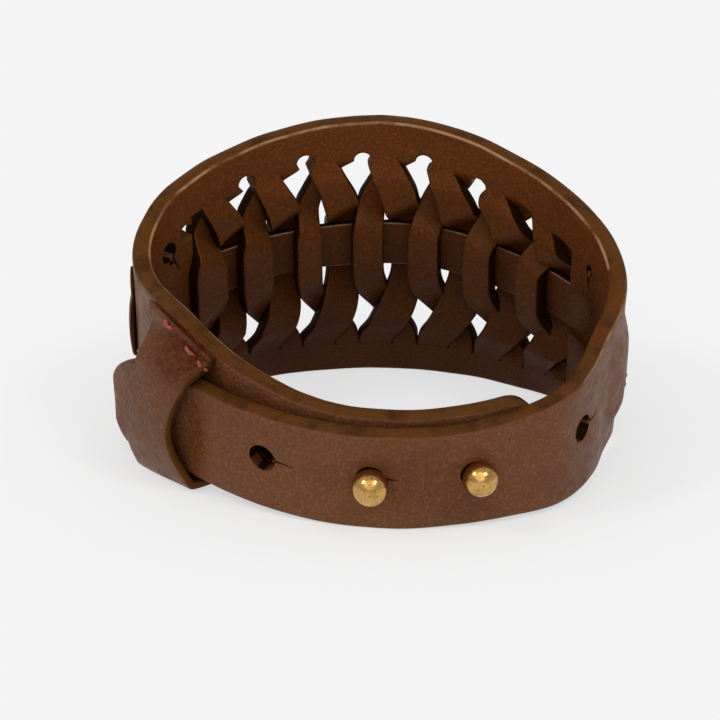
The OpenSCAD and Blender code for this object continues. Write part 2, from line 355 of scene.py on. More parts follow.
# Sections and surfaces

def section(low, high, half, corner, rows, dome=0.1):
    """Closed section of a leather strip for each station: a quarter circle at each corner, straight faces
    with the given inner rows, and cut edges that stand out by a parabola of height dome. Returns the places
    across and along the normal, and for each point its share of cut edge and of rim, and its side."""
    low, high, half = (np.atleast_1d(np.asarray(v, float))[:, None] for v in (low, high, half))
    q = np.linspace(0, math.pi / 2, 5)[None, :]
    inset = corner * (1 - np.cos(q))
    rise = half - corner + corner * np.sin(q)
    flat = np.linspace(1, -1, 5)[1:-1][None, :]
    across = [low + inset, rows, high - inset[:, ::-1],
              high + dome * (1 - flat ** 2), high - inset, rows[:, ::-1], low + inset[:, ::-1],
              low - dome * (1 - flat ** 2)]
    one = np.ones_like(rows)
    normal = [rise, half * one, rise[:, ::-1], (half - corner) * flat,
              -rise, -half * one, -rise[:, ::-1], -(half - corner) * flat]
    stations = max(len(a) for a in across)
    across, normal = (np.concatenate([np.broadcast_to(a, (stations, a.shape[1])) for a in part], axis=1)
                      for part in (across, normal))
    n = rows.shape[1]
    arc, rim, none, full = np.cos(q[0]), np.sin(2 * q[0]), np.zeros(n), np.ones(3)
    # Half a ring is a corner, a face's rows, a corner and a cut edge
    half_ring = lambda ends, edge: [ends, none, ends[::-1], edge]
    cut = np.concatenate(2 * half_ring(arc, full))
    # Where the rim line lies, which carries wear and a painted highlight
    rims = np.concatenate(2 * half_ring(rim, 0 * full))
    side = np.concatenate([np.ones(10 + n), flat[0], -np.ones(10 + n), -flat[0]])
    return across, normal, {"cut": cut, "rim": rims, "side": side}


def loft(points):
    """Quads between successive closed rings, points being stations by ring by 3, and a face at each end."""
    m, k = points.shape[:2]
    i, j = np.meshgrid(np.arange(m - 1), np.arange(k), indexing="ij")
    a, b = i * k + j, i * k + (j + 1) % k
    faces = np.stack([a, b, b + k, a + k], axis=-1).reshape(-1, 4).tolist()
    ends = [list(range(k - 1, -1, -1)), list(range((m - 1) * k, m * k))]
    return points.reshape(-1, 3), faces + ends


def outward(points, faces):
    """Turns all faces round if the volume that they enclose comes out negative."""
    volume = 0.0
    for size in {len(f) for f in faces}:
        group = np.array([f for f in faces if len(f) == size])
        for k in range(1, size - 1):
            a, b, c = points[group[:, 0]], points[group[:, k]], points[group[:, k + 1]]
            volume += np.einsum("ij,ij->", a, np.cross(b, c))
    return faces if volume > 0 else [f[::-1] for f in faces]


def shell(points, faces, marks, along, up):
    """One closed part of a piece: placed vertices, outward faces and the values that its finish reads."""
    count = len(points)
    placed = place(points)
    values = {name: np.broadcast_to(v, (count,)).astype(np.float32) for name, v in marks.items()}
    values["along"] = np.broadcast_to(along, (count,)).astype(np.float32)
    values["up"] = np.broadcast_to(up, (count,)).astype(np.float32)
    return placed, outward(placed, faces), values


def lofted(along, out, up, marks):
    """A shell lofted through rings given by their places on the leather."""
    points, faces = loft(spot(along, out, up))
    shape = np.broadcast_shapes(along.shape, up.shape)
    flat = {name: np.broadcast_to(v, shape).reshape(-1) for name, v in marks.items()}
    return shell(points, faces, flat, np.broadcast_to(along, shape).reshape(-1), up.reshape(-1))


def add_mesh(name, shells, materials):
    """Joins shells into one mesh object at the origin, with smooth faces and their values as attributes."""
    points = np.concatenate([s[0] for s in shells])
    faces = []
    start = 0
    for placed, own, _ in shells:
        faces.extend([[v + start for v in f] for f in own])
        start += len(placed)
    mesh = bpy.data.meshes.new(name)
    mesh.from_pydata(points.tolist(), [], faces)
    for key in shells[0][2]:
        values = np.concatenate([s[2][key] for s in shells])
        mesh.attributes.new(key, "FLOAT", "POINT").data.foreach_set("value", values)
    for material in materials:
        mesh.materials.append(material)
    mesh.polygons.foreach_set("use_smooth", np.ones(len(mesh.polygons), bool))
    mesh.set_sharp_from_angle(angle=math.radians(50))
    mesh.validate()
    mesh.update()
    thing = bpy.data.objects.new(name, mesh)
    bpy.context.scene.collection.objects.link(thing)
    return thing


def cut_away(thing, cutters):
    """Takes closed cutter shells out of a piece with a Boolean modifier, applied to its mesh."""
    tool = add_mesh(thing.name + "_cutter", cutters, [])
    change = thing.modifiers.new("holes", "BOOLEAN")
    change.object = tool
    change.operation = "DIFFERENCE"
    change.solver = "MANIFOLD"
    bpy.context.view_layer.update()
    graph = bpy.context.evaluated_depsgraph_get()
    result = bpy.data.meshes.new_from_object(thing.evaluated_get(graph))
    thing.modifiers.clear()
    old = thing.data
    thing.data = result
    bpy.data.meshes.remove(old)
    bpy.data.objects.remove(tool)
    thing.data.set_sharp_from_angle(angle=math.radians(40))


# Parts of the leather

def panel_stations():
    """Stations along the panel: even steps, closer at the rounded tab end."""
    corner = np.array([0.0, 0.1, 0.25, 0.5, 0.9, 1.5, 2.2, 3.1]) - TAB_END
    even = np.arange(-TAB_END + 4.0, SEAM - 0.3, 0.8)
    fixed = np.array([WINDOW_LEFT - WINDOW_WIDER, WINDOW_RIGHT, NOTCH_END, SEAM])
    keep = np.abs(even[:, None] - fixed[None, :]).min(axis=1) > 0.25
    return np.unique(np.round(np.concatenate([corner, even[keep], fixed]), 5))


def punches():
    """Cutters of the round holes at the upper ends of the gaps, with brown walls."""
    return [hole_cutter(along, 0, up, PUNCH_R, PUNCH_FLARE, shade=1.0) for along, up in GAP_HOLES]


def even_section(low, high, half, corner, count, dome=0.1):
    """Section whose faces have count even rows between their corners."""
    rows = mix(low[:, None] + corner, high[:, None] - corner, np.linspace(0, 1, count + 2)[None, 1:-1])
    return section(low, high, half, corner, rows, dome)


def panel_shell(corner):
    """Tab, end panels and both rails in one closed mesh. Its rows run from the lower edge to the upper one,
    two of them on the window's edges and two on the notch's."""
    a = panel_stations()
    cut = rounding(a + TAB_END, END_CORNER)
    thin = rounding(a + TAB_END, corner)
    low = bottom_at(a) + cut + EDGE_WAVE * wander(a, 0 * a, 5)
    high = top_at(a) - cut + EDGE_WAVE * wander(a, 0 * a, 6)
    window_low = np.minimum(root_at(a, -1), low + 0.36 * (high - low))
    window_high = np.maximum(root_at(a, 1), high - 0.36 * (high - low))
    near = ease((a - 25) / 10) * (1 - ease((a - 45) / 4))
    notch_low = mix(mix(window_low, window_high, 0.3), band_up(a) - NOTCH_HALF, near)
    notch_high = mix(mix(window_low, window_high, 0.7), band_up(a) + NOTCH_HALF, near)
    counts = (7, 3, 6, 3, 7)
    lines = (low + corner, window_low, notch_low, notch_high, window_high, high - corner)
    rows = np.concatenate([mix(start[:, None], stop[:, None], np.linspace(0, 1, n + 1)[1:][None, :])
                           for n, start, stop in zip(counts, lines[:-1], lines[1:])], axis=1)[:, :-1]
    across, normal, marks = section(low, high, LEATHER / 2 - thin, corner, rows)
    along = np.broadcast_to(a[:, None], across.shape)
    wave = PANEL_WAVE * wander(along, across, PANEL_SEED)
    swell = swelling(along, across) * np.clip(2 * normal / LEATHER, 0, 1)
    points, faces = loft(spot(along, normal + wave + swell, across))
    # Rim line of wear and painted highlight: strongest along the upper inner rim
    marks["rim"] = marks["rim"] * np.where((marks["side"] < 0) & (across > 0), 0.95, 0.3)
    # Painted shadow: the tab's outer face seen through the open strap hole gets the near-black mark
    painted_shadow_behind_hole = np.hypot(along - STRAP_HOLES[3] + LOOP_LENGTH, across - HOLE_UP) < 3.4
    marks["cut"] = np.where(painted_shadow_behind_hole & (normal > 0), -1.0, marks["cut"])
    inner_right = bump(along, 43, 6) * bump(across, 0, 8) * (normal < 0)
    outer_left = bump(along, 131 - LOOP_LENGTH, 6) * bump(across, 11, 3) * (normal > 0)
    marks["worn"] = np.clip(1.3 * inner_right + outer_left, 0, 1)
    flat = {name: np.broadcast_to(v, across.shape).reshape(-1) for name, v in marks.items()}
    faces = with_window(faces, a, rows.shape[1], across.shape[1], counts)
    return shell(points, faces, flat, along.reshape(-1), across.reshape(-1))


def with_window(faces, a, rows, ring, counts):
    """The panel's faces without those in the window and the notch, which are closed by walls between the
    outer and the inner face. A ring of points has a corner, the outer rows, a corner, an edge, a corner, the
    inner rows backwards, a corner and an edge, with 5 points to a corner and 3 to an edge."""
    outer = lambda row: 5 + row
    inner = lambda row: 18 + 2 * rows - 1 - row
    window_low, notch_low, notch_high, window_high = np.cumsum(counts)[:4] - 1
    ends = (WINDOW_LEFT - WINDOW_WIDER, WINDOW_RIGHT, NOTCH_END)
    left, right, end = (int(np.argmin(np.abs(a - at))) for at in ends)
    holes = ((left, right, window_low, window_high), (right, end, notch_low, notch_high))

    def wall(i, r, j, s):
        """Face between the outer and the inner face, from station i and row r to station j and row s."""
        return [i * ring + inner(r), j * ring + inner(s), j * ring + outer(s), i * ring + outer(r)]

    keep = np.ones((len(a) - 1, ring), bool)
    walls = []
    for start, stop, low, high in holes:
        keep[start:stop, outer(low):outer(high)] = False
        keep[start:stop, inner(high):inner(low)] = False
        for i in range(start, stop):
            walls += [wall(i, low, i + 1, low), wall(i + 1, high, i, high)]
    for r in range(window_low, window_high):
        far = end if notch_low <= r < notch_high else right
        walls += [wall(left, r + 1, left, r), wall(far, r, far, r + 1)]
    return [f for f, stays in zip(faces, keep.reshape(-1)) if stays] + walls + faces[-2:]


def strip_edges(pair, family, up, reach):
    """Left and right edge of a strip, along from the middle of its pair: the tables' values for the left and
    the right pairs blended by the pair's place, and those above and below blended over the middle 3 mm."""
    late = float(ease((pair_middle(pair) - 2) / 20))
    upper = ease((up + 1.5) / 3)
    of_pair = lambda table, at, first: mix(column(table, at, first), column(table, at, first + 2), late)

    def edge(side, at):
        """Edge of the strip behind the band, left where side is 0 and right where it is 1."""
        above = of_pair(BEHIND, at, 1 + side) + BEHIND_EXTRA[pair][side] * bump(at, 0.75, 0.17)
        below = of_pair(BEHIND, at, 5 + side) + (1 - side) * BEHIND_BELOW[pair] * bump(at, 0.33, 0.2)
        return mix(below, above, upper)

    if family < 0:
        return edge(0, reach), edge(1, reach)
    middle, half = BEFORE_MIDDLES[pair], BEFORE_WIDTHS[pair] / 2
    at_root = np.ones_like(reach)
    roots = (edge(1, at_root) + 0.08, PITCH + edge(0, at_root) - 0.04)
    share = lambda first: np.where(up > 0, of_pair(BEFORE, reach, first), of_pair(BEFORE, reach, first + 4))
    return mix(middle - half, roots[0], share(1)), mix(middle + half, roots[1], share(2))


def pair_middle(pair):
    """Place of a pair of strips along the leather, pair 0 being the left one."""
    return PAIR_MID + (pair - (PAIRS - 1) / 2) * PITCH


def strip_shell(pair, family, corner):
    """One woven strip. Family 1 lies inside the band and outside at the crossings, family -1 the other way.
    It eases from one to the other, and beyond its root it lies flush in the rail."""
    centre = pair_middle(pair)
    high, low = float(root_at(centre, 1)), float(-root_at(centre, -1))
    t = np.linspace(-1, 1, 81)
    root = np.where(t > 0, high, low)
    up = t * (root + 2.4)
    reach = np.abs(up) / root
    left, right = strip_edges(pair, family, up, reach)
    thick = mix(STRIP_T, LEATHER - 0.04, ease((reach - 0.82) / 0.16))
    cross = CROSS_SHARE * root
    slant = np.gradient((left + right) / 2, up)
    width = (right - left)[:, None]
    across, normal, marks = even_section(left, right, thick / 2, corner, 9, dome=0.05)
    from_middle = across - (left + right)[:, None] / 2
    h = np.abs(up - band_up(centre))[:, None] + 0.45 * family * from_middle
    ramp_length = np.where(up > 0, np.minimum(4.2, cross - BAND_H / 2), cross - 4.0)[:, None]
    at_band = mix(PASS_OUT, -CROSS_OUT, ease((h - BAND_H / 2) / ramp_length))
    at_root = mix(-CROSS_OUT, 0.0, ease((reach - 0.74) / 0.25))[:, None]
    out = -family * np.where((np.abs(up) < cross)[:, None], at_band, at_root)
    reach = reach[:, None]
    crown = 0.18 * family * (1 - (2 * from_middle / width) ** 2) * (1 - ease((reach - 0.6) / 0.3))
    twist = 0.10 * np.clip(slant, -1, 1)[:, None] * from_middle * (1 - ease((reach - 0.75) / 0.2))
    up = np.broadcast_to(up[:, None], across.shape)
    flush = ease((reach - 0.85) / 0.12)
    along = centre + across
    out = out + normal - crown + twist + PANEL_WAVE * wander(along, up, PANEL_SEED) * flush
    fade = 1 - ease((reach - 0.93) / 0.07)
    # The walls stay dark to the root, and the rounded corners fade into the rail
    walls = np.where(marks["cut"] > 0.99, 1.0, marks["cut"] * fade)
    # The strips' rims keep a faint line of wear and painted highlight
    marks = {"cut": -walls, "rim": 0.35 * marks["rim"] * fade, "side": marks["side"] + 0 * across}
    return lofted(along, out, up, marks)


def band_shell(corner):
    """Centre band: a flat strip that passes to the outer face at both ends. It widens at the left into a
    sewn patch with two domed lobes, whose height is the root of one less the square of the way from each
    lobe's middle. The right end is pared down."""
    last = BAND_RIGHT - BAND_TUCK
    a = np.concatenate([BAND_LEFT + np.array([0.0, 0.15, 0.4]), np.arange(BAND_LEFT + 0.8, last - 0.8, 0.8),
                        last - np.array([0.4, 0.15, 0.0])])
    ends = np.minimum(a - BAND_LEFT, last - a)
    skived = 0.75 * ease((a - 42) / 6)
    thick = BAND_T - skived - 2 * rounding(ends, 0.25)
    left = ease((-43.8 - a) / 3.0)
    middle = band_up(a) + 3.0 * left
    half = BAND_H / 2 + 3.8 * left - rounding(ends, 2.0)
    low = middle - half + 0.08 * wander(a, 0 * a, 21)
    high = middle + half + 0.08 * wander(a, 0 * a, 22)
    across, normal, marks = even_section(low, high, thick / 2, corner, 21, dome=0.05)
    at_left = ease((-43.6 - a) / 2.4)[:, None]
    along = a[:, None] + 1.2 * bump(across, 6.4, 1.2) * at_left
    base = (band_out(a) - skived / 2)[:, None]
    domes = [tall * np.sqrt(np.clip(1 - ((across - centre) / reach) ** 2, 0, 1))
             for centre, reach, tall in LOBES]
    proud = LOBE_LIFT + np.maximum(*domes)
    domed = LEATHER / 2 + 0.1 + (normal / BAND_T + 0.5) * (proud - 0.1)
    # Rim line of wear and painted highlight: stronger on the band's inner face
    marks["rim"] = marks["rim"] * np.where(marks["side"] < 0, 0.9, 0.2)
    # Painted shade: the band's cut edges are near-black where it runs through the braid, and its inner face
    # near-black where the left patch lies on the panel
    marks["cut"] = marks["cut"] * np.where(np.abs(a) < 40, -1.0, 1.0)[:, None]
    marks["cut"] = np.where((normal < 0) & (a < -42)[:, None], -1.0, marks["cut"])
    return lofted(along, mix(base + normal, domed, at_left), across, marks)


def strap_shell(corner):
    """Outer strap from the seam to its rounded tip, drawn in a little round each hole, and creased and
    rubbed where it enters the keeper."""
    a = np.concatenate([np.array([SEAM + 0.02]), np.arange(SEAM + 0.7, STRAP_END - 4.6, 0.7),
                        STRAP_END - np.array([4.2, 3.1, 2.2, 1.5, 0.9, 0.5, 0.25, 0.1, 0.0])])
    to_end = STRAP_END - a
    drop = strap_drop(a)
    low = bottom_at(a) + rounding(to_end, END_CORNER) - drop + 0.06 * wander(a, 0 * a, 11)
    slanted = TIP_SLANT * rounding(to_end / TIP_SLANT, END_CORNER)
    high = top_at(a) - slanted - drop + 0.06 * wander(a, 0 * a, 12)
    half = LEATHER / 2 - rounding(to_end, corner)
    across, normal, marks = even_section(low, high, half, corner, 23)
    upper = (marks["side"] > 0) & (across > 0)
    # Rim line of wear and painted highlight: strongest on the upper outer rim near the seam, weaker further
    # along
    marks["rim"] = marks["rim"] * np.where(upper, mix(0.9, 0.45, ease((a - 64) / 20))[:, None], 0.25)
    along = np.broadcast_to(a[:, None], across.shape)
    out = strap_out(a)[:, None] + normal + 0.1 * wander(along, across, 13) * ease((along - SEAM) / 4)
    out = out + swelling(along, across) * np.clip(2 * normal / LEATHER, 0, 1)
    for hole in STRAP_HOLES:
        d = np.hypot(along - hole, across - HOLE_UP)
        out = out - HOLE_SINK * bump(d, HOLE_R - 0.3, 1.1) * (normal > 0)
    creased = 0.10 * np.sin(along * 4.6 + 0.5 * across) * bump(along, 124.6, 1.6) * bump(across, -1, 6)
    marks["worn"] = 0.8 * bump(along, 125.6, 1.9) * bump(across, -0.5, 7) * (normal > 0)
    return lofted(along, out + creased * (normal > 0), across, marks)


# Hole walls are near-black where shade is -1, as painted shade in the hole, and burnished brown where it is 1
def hole_cutter(along, out, up, radius, flare, turn=0.0, shade=-1.0):
    """Round punch that widens by a quarter circle of radius flare where it leaves each face of the leather,
    turned by "turn" about the vertical: rings of its radius at heights through the leather."""
    q = np.linspace(0, math.pi / 2, 6)
    level = LEATHER / 2 - flare + flare * np.sin(q)
    past = LEATHER / 2 + 1.6
    height = np.concatenate([[-past], -level[::-1], level, [past]])[:, None]
    wide = radius + flare * (1 - np.cos(q))
    ring_r = np.concatenate([[wide[-1]], wide[::-1], wide, [wide[-1]]])[:, None]
    return tool_shell(rings(ring_r, height, 48), along, out, up, turn, shade=shade)


def rings(radius, height, count):
    """Points of level circles: radius times cosine, radius times sine, height."""
    ring = np.linspace(0, 2 * math.pi, count + 1)[:-1][None, :]
    return np.stack([np.cos(ring) * radius, np.sin(ring) * radius, height + 0 * ring], axis=-1)


def tool_shell(local, along, out, up, turn=0.0, spin=0.0, shade=-1.0):
    """Places a lofted tool whose own axes are x towards greater along, y up and z outwards."""
    a = float(angle_at(along))
    outwards = np.array([math.cos(a), math.sin(a), 0.0])
    rightwards = np.array([math.sin(a), -math.cos(a), 0.0])
    upwards = np.array([0.0, 0.0, 1.0])
    axis_z = math.cos(turn) * outwards - math.sin(turn) * rightwards
    axis_x = math.cos(turn) * rightwards + math.sin(turn) * outwards
    x = local[..., 0] * math.cos(spin) - local[..., 1] * math.sin(spin)
    y = local[..., 0] * math.sin(spin) + local[..., 1] * math.cos(spin)
    points = spot(along, out, up) + x[..., None] * axis_x + y[..., None] * upwards + local[..., 2:3] * axis_z
    flat, faces = loft(points)
    none = np.zeros(len(flat))
    # The walls take shade as their cut mark: -1 paints them near-black as shade, 1 burnished brown
    marks = {"cut": none + shade, "rim": none, "side": none, "worn": none}
    return shell(flat, faces, marks, np.full(len(flat), float(along)), np.full(len(flat), float(up)))


# Slits keep the near-black walls: painted shade in the cut
def slit_cutter(along, out, up, start, length, wide, reach, turn=0.0, spin=0.0):
    """Knife cut that tapers to nothing: a thin wedge from start over length, bowed by a sine."""
    t = np.linspace(0, 1, 7)
    width = wide * (1 - t) ** 0.7 + 0.03
    bend = 0.12 * np.sin(math.pi * t)
    corners = ((-0.5, -reach), (0.5, -reach), (0.5, reach), (-0.5, reach))
    local = np.stack([np.stack([start + t * length, bend + side * width, level + 0 * t], axis=-1)
                      for side, level in corners], axis=1)
    return tool_shell(local, along, out, up, turn, spin)


def keeper_mid(along, row):
    """Middle of the keeper's leather, out and up, at row -1 on its lower edge to 1 on its upper one:
    a parabola over the strap, then an S-bend down to the flange."""
    side = np.where(row < 0, -1.0, 1.0)
    on_panel = along - LOOP_LENGTH
    edge = np.where(side > 0, top_at(on_panel) - 0.2, bottom_at(on_panel) + 0.2)
    middle = STRAP_MID_UP - strap_drop(along)
    r = row / ARCH_PART
    t = (np.abs(row) - ARCH_PART) / (1 - ARCH_PART)
    out = np.where(t < 0, ARCH_OUT + ARCH_ROOM * (1 - r * r), mix(ARCH_OUT, FLANGE_OUT, ease(t * 1.5)))
    up = np.where(t < 0, middle + r * ARCH_HALF, mix(middle + side * ARCH_HALF, edge, t))
    return out, up


def keeper_shell(corner):
    """Keeper: leather of even thickness on both sides of its middle surface, wrinkled on its upper bend."""
    row = np.linspace(-1, 1, 91)
    near = KEEPER_RIGHT + 3.2 * (1 - ease(np.abs(row)))
    far = mix(KEEPER_LEFT, FLANGE_LEFT, ease((np.abs(row) - ARCH_PART) * 3)) - bump(row, 0.62, 0.2)
    half = KEEPER_T / 2 - rounding(np.minimum(1 - row, 1 + row) * 12, 0.35)
    across, normal, marks = even_section(near, far, half, corner, 13, dome=0.05)
    r = np.broadcast_to(row[:, None], across.shape)
    out, up = keeper_mid(across, r)
    out_a, up_a = keeper_mid(across, r - 0.03)
    out_b, up_b = keeper_mid(across, r + 0.03)
    length = np.hypot(out_b - out_a, up_b - up_a)
    wrinkle = 0.10 * np.sin(across * 3.1 + up * 1.3) * bump(up, 11.5, 2.2)
    marks["worn"] = np.clip(1.3 * bump(up, 10.4, 3.2) * bump(across, 129.5, 6), 0, 1) * (normal > 0)
    # Faint rim line of wear and painted highlight on the keeper
    marks["rim"] = 0.35 * marks["rim"]
    out = out + wrinkle + (up_b - up_a) / length * normal
    up = up - (out_b - out_a) / length * normal
    return lofted(across, out, up, marks)


def stitch_shell(along, out, up, length, heading, radius, seed):
    """One stitch: a capsule bowed over the leather, its ends sunk into it, with two turns of twist."""
    t = np.linspace(0, 1, 13)[:, None]
    ring = np.linspace(0, 2 * math.pi, 11)[None, :-1]
    fat = radius * np.sqrt(np.clip(1 - (2 * t - 1) ** 6, 0.02, 1))
    grooves = 1 + 0.13 * np.cos(2 * ring + t * 14 + seed)
    across = fat * np.cos(ring) * grooves
    rise = fat * np.sin(ring) * grooves
    ahead = (t - 0.5) * length
    level = out - 0.55 * radius + 1.1 * radius * np.sin(math.pi * t)
    zero = np.zeros_like(across)
    return lofted(along + ahead * math.cos(heading) - across * math.sin(heading), level + rise,
                  up + ahead * math.sin(heading) + across * math.cos(heading),
                  {"cut": zero, "rim": zero, "side": zero + 1})


def stud_shell(along, ball_r, sideways, lift, out):
    """Ball stud as one turned piece: rings of its base, neck and ball, their centres drifting to the ball's
    own place from the neck on."""
    under = -LEATHER / 2 - 0.3
    polar = np.linspace(math.asin(NECK_R / ball_r), math.pi - 0.03, 34)
    base = np.array([[-0.8, 2.9], [-0.7, 3.14], [-0.4, 3.2], [-0.1, 3.14], [0.0, 2.9], [0.02, 1.3],
                     [0.3, NECK_R]])
    height = np.concatenate([under + base[:, 0], out - ball_r * np.cos(polar)])[:, None]
    radius = np.concatenate([base[:, 1], ball_r * np.sin(polar)])[:, None]
    shift = ease((height - under) / (out - ball_r - under))[..., None]
    return tool_shell(rings(radius, height, 64) + shift * np.array([sideways, lift, 0.0]), along, 0, HOLE_UP)


# Finishes

def add_node(tree, kind, inputs=None, **settings):
    """A shader node with its settings, and its inputs set to values or linked to other nodes' outputs."""
    node = tree.nodes.new(kind)
    for key, value in settings.items():
        setattr(node, key, value)
    for key, value in (inputs or {}).items():
        if is_socket(value):
            tree.links.new(value, node.inputs[key])
        else:
            node.inputs[key].default_value = value
    return node


def is_socket(value):
    """Whether a value is another node's output."""
    return isinstance(value, bpy.types.NodeSocket)


def blend_colour(tree, factor, a, b, mode="MIX"):
    """Mix of two colours, each a socket or a colour."""
    node = add_node(tree, "ShaderNodeMix", data_type="RGBA", blend_type=mode)
    for socket, value in ((node.inputs[0], factor), (node.inputs[6], a), (node.inputs[7], b)):
        if is_socket(value):
            tree.links.new(value, socket)
        else:
            socket.default_value = value if isinstance(value, float) else (*value[:3], 1.0)
    return node.outputs[2]


def ramp(tree, value, low, high, start=0.0, stop=1.0):
    """Smooth change of a value from one range to another."""
    inputs = {"Value": value, "From Min": low, "From Max": high, "To Min": start, "To Max": stop}
    return add_node(tree, "ShaderNodeMapRange", inputs, interpolation_type="SMOOTHSTEP").outputs["Result"]


def arithmetic(tree, operation, a, b):
    """One operation of arithmetic on two values."""
    return add_node(tree, "ShaderNodeMath", {0: a, 1: b}, operation=operation).outputs[0]


def product(tree, *factors):
    """Product of several values."""
    total = factors[0]
    for factor in factors[1:]:
        total = arithmetic(tree, "MULTIPLY", total, factor)
    return total


def noise(tree, where, scale, detail, rough=0.5):
    """Noise of a scale per metre."""
    settings = {"Vector": where, "Scale": scale, "Detail": detail, "Roughness": rough}
    return add_node(tree, "ShaderNodeTexNoise", settings).outputs[0]


def mark(tree, name):
    """One of the values stored on the mesh."""
    node = add_node(tree, "ShaderNodeAttribute", attribute_type="GEOMETRY", attribute_name=name)
    return node.outputs["Fac"]


def new_material(name):
    """An empty material with its shader, and the place on the object that its patterns read."""
    material = bpy.data.materials.new(name)
    material.use_nodes = True
    tree = material.node_tree
    tree.nodes.clear()
    shader = add_node(tree, "ShaderNodeBsdfPrincipled")
    add_node(tree, "ShaderNodeOutputMaterial", {"Surface": shader.outputs[0]})
    return material, tree, shader, add_node(tree, "ShaderNodeTexCoord").outputs["Object"]


def link_finish(tree, shader, links, strength, distance, height):
    """Links values to the shader's inputs, and relief of a strength and a depth in metres to its normal."""
    relief = add_node(tree, "ShaderNodeBump", {"Strength": strength, "Distance": distance, "Height": height})
    for name, value in {**links, "Normal": relief.outputs[0]}.items():
        tree.links.new(value, shader.inputs[name])


def leather_material(name, outer, inner, edge, rim, grain, gloss):
    """Vegetable-tanned leather: mottled faces with pores and fine creases, burnished cut edges where cut
    is 1 and near-black ones where it is -1 (the strips' walls, and painted shade in holes, slits, behind a
    strap hole and on the band in the braid), a lighter line along the rims that is partly wear and partly a
    painted highlight, and painted shade that darkens the inner face downwards."""
    material, tree, shader, where = new_material(name)
    cut, rims, side, worn, up = (mark(tree, key) for key in ("cut", "rim", "side", "worn", "up"))
    spots = lambda scale, detail, rough=0.55: noise(tree, where, scale, detail, rough)
    shaded = lambda colour, tint: blend_colour(tree, 1.0, colour, tint, mode="MULTIPLY")
    clouds = spots(85.0, 3.0)
    mottle = spots(480.0, 4.0)
    grit = spots(2300.0, 2.0, 0.6)
    creases = spots(1000.0, 4.0, 0.65)
    pores = add_node(tree, "ShaderNodeTexVoronoi", {"Vector": where, "Scale": 1500.0, "Randomness": 1.0},
                     feature="SMOOTH_F1").outputs["Distance"]
    # Painted shade: the inner face darkens downwards to 0.36 of its colour
    inside = blend_colour(tree, ramp(tree, up, -17.0, 22.0), tuple(c * 0.36 for c in inner), inner)
    face = blend_colour(tree, ramp(tree, side, -0.3, 0.3), inside, outer)
    dim, bright = (0.6, 0.56, 0.5), (1.5, 1.6, 1.7)
    patterns = ((clouds, 0.42, 0.72, 0.45, dim), (mottle, 0.52, 0.8, 0.3, bright),
                (grit, 0.46, 0.68, 0.85, bright), (pores, 0.3, 0.05, 0.5, dim))
    for value, low, high, share, tint in patterns:
        face = blend_colour(tree, ramp(tree, value, low, high, 0.0, share), face, shaded(face, tint))
    dirty = product(tree, worn, ramp(tree, creases, 0.62, 0.36, 0.35, 1.0))
    face = blend_colour(tree, dirty, face, shaded(face, (0.62, 0.37, 0.22)))
    edge_dark, edge_light, dark_wall_and_painted_shade = (tuple(min(1.0, c * f) for c in edge) for f in (0.55, 1.5, 0.16))
    burnish = blend_colour(tree, ramp(tree, spots(260.0, 4.0), 0.4, 0.7), edge, edge_dark)
    burnish = blend_colour(tree, ramp(tree, spots(1500.0, 2.0), 0.55, 0.8, 0.0, 0.4), burnish, edge_light)
    colour = blend_colour(tree, ramp(tree, cut, 0.35, 0.8), face, burnish)
    # Near-black where cut is -1: the strips' dark walls, and painted shade in holes, slits, behind a strap
    # hole and on the band in the braid
    colour = blend_colour(tree, ramp(tree, cut, -0.75, -0.97), colour, dark_wall_and_painted_shade)
    # Lighter line along the rims: partly wear, partly a painted highlight
    rim_highlight_and_wear = product(tree, ramp(tree, rims, 0.3, 1.0), ramp(tree, spots(170.0, 5.0), 0.32, 0.6))
    sheen = product(tree, ramp(tree, side, -0.5, 0.5, 0.07, 0.13), ramp(tree, cut, -0.9, -0.5, 0.1, 1.0),
                    ramp(tree, cut, 0.4, 0.9, 1.0, 0.45), ramp(tree, worn, 0.0, 1.0, 1.0, 0.4))
    height = product(tree, pores, 0.5)
    for part in (product(tree, grit, 0.9), product(tree, mottle, 0.9), product(tree, worn, creases, 5.0)):
        height = arithmetic(tree, "ADD", height, part)
    links = {"Base Color": blend_colour(tree, rim_highlight_and_wear, colour, rim), "Specular IOR Level": sheen,
             "Roughness": ramp(tree, mottle, 0.3, 0.75, gloss - 0.06, gloss + 0.16)}
    link_finish(tree, shader, links, 0.9 * grain, 0.00018, height)
    return material


def brass_material(name, colour):
    """Polished brass with tarnish in soft clouds and small brown specks, and hair-fine scratches."""
    material, tree, shader, where = new_material(name)
    clouds = noise(tree, where, 700.0, 4.0)
    tarnish = tuple(c * f for c, f in zip(colour, (0.62, 0.52, 0.42)))
    shade = blend_colour(tree, ramp(tree, clouds, 0.42, 0.7, 0.0, 0.6), colour, tarnish)
    specks = ramp(tree, noise(tree, where, 2600.0, 3.0), 0.52, 0.68, 0.0, 0.55)
    shader.inputs["Metallic"].default_value = 1.0
    links = {"Base Color": blend_colour(tree, specks, shade, (0.16, 0.07, 0.02)),
             "Roughness": ramp(tree, clouds, 0.35, 0.75, 0.16, 0.32)}
    link_finish(tree, shader, links, 0.12, 0.00003, noise(tree, where, 5200.0, 2.0))
    return material


def thread_material(name, colour):
    """Waxed thread with a faint change of colour along it."""
    material, tree, shader, where = new_material(name)
    fibres = noise(tree, where, 3500.0, 3.0)
    darker = tuple(c * 0.45 for c in colour)
    shader.inputs["Roughness"].default_value = 0.6
    shade = blend_colour(tree, ramp(tree, fibres, 0.35, 0.7), darker, colour)
    link_finish(tree, shader, {"Base Color": shade}, 0.5, 0.00005, fibres)
    return material


